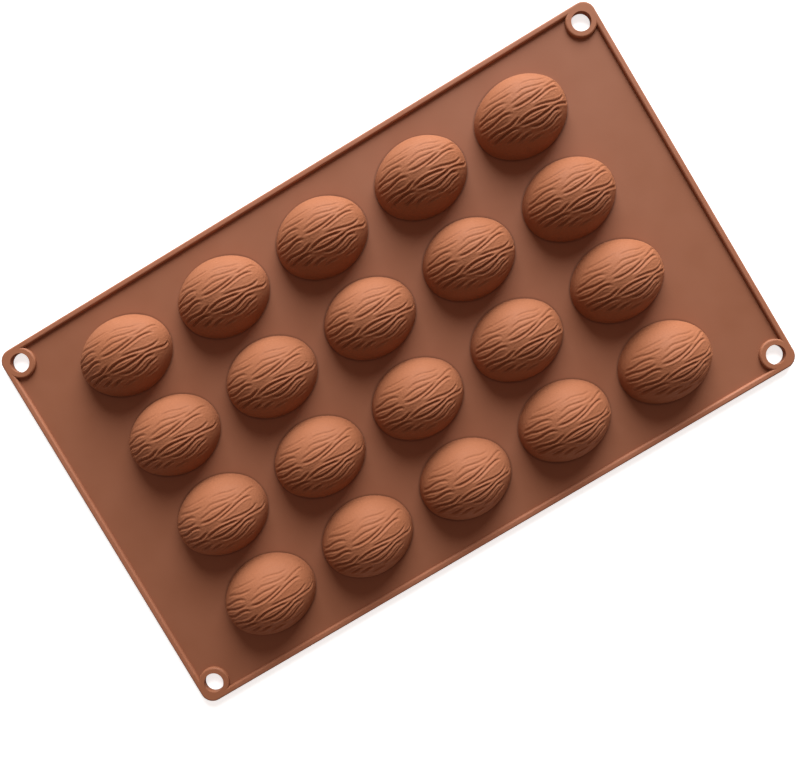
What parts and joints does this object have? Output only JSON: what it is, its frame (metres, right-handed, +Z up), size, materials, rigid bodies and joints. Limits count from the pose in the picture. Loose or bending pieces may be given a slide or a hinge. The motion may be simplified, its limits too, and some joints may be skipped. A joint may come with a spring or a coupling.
{
  "type": "silicone walnut mold",
  "caption": "Flexible silicone mold: a rimmed sheet with rows of hollow half-walnut cups and a hanging hole in each corner, lying domes up.",
  "frame": {"origin": "centre of the flat mouth side, on the surface the mold lies on", "axes": "+X along the long side, +Y towards the back long side, +Z up through the domes"},
  "size_m": [0.294, 0.177, 0.0185],
  "materials": {
    "silicone": "matte to satin cocoa brown silicone"
  },
  "bodies": {
    "root": {"sheet": "silicone", "rim_right": "silicone", "rim_left": "silicone", "rim_back": "silicone", "rim_front": "silicone", "eyelet_back_right": "silicone", "eyelet_back_left": "silicone", "eyelet_front_right": "silicone", "eyelet_front_left": "silicone", "cup_r1c1": "silicone", "cup_r1c2": "silicone", "cup_r1c3": "silicone", "cup_r1c4": "silicone", "cup_r1c5": "silicone", "cup_r2c1": "silicone", "cup_r2c2": "silicone", "cup_r2c3": "silicone", "cup_r2c4": "silicone", "cup_r2c5": "silicone", "cup_r3c1": "silicone", "cup_r3c2": "silicone", "cup_r3c3": "silicone", "cup_r3c4": "silicone", "cup_r3c5": "silicone", "cup_r4c1": "silicone", "cup_r4c2": "silicone", "cup_r4c3": "silicone", "cup_r4c4": "silicone", "cup_r4c5": "silicone"}
  },
  "joints": []
}
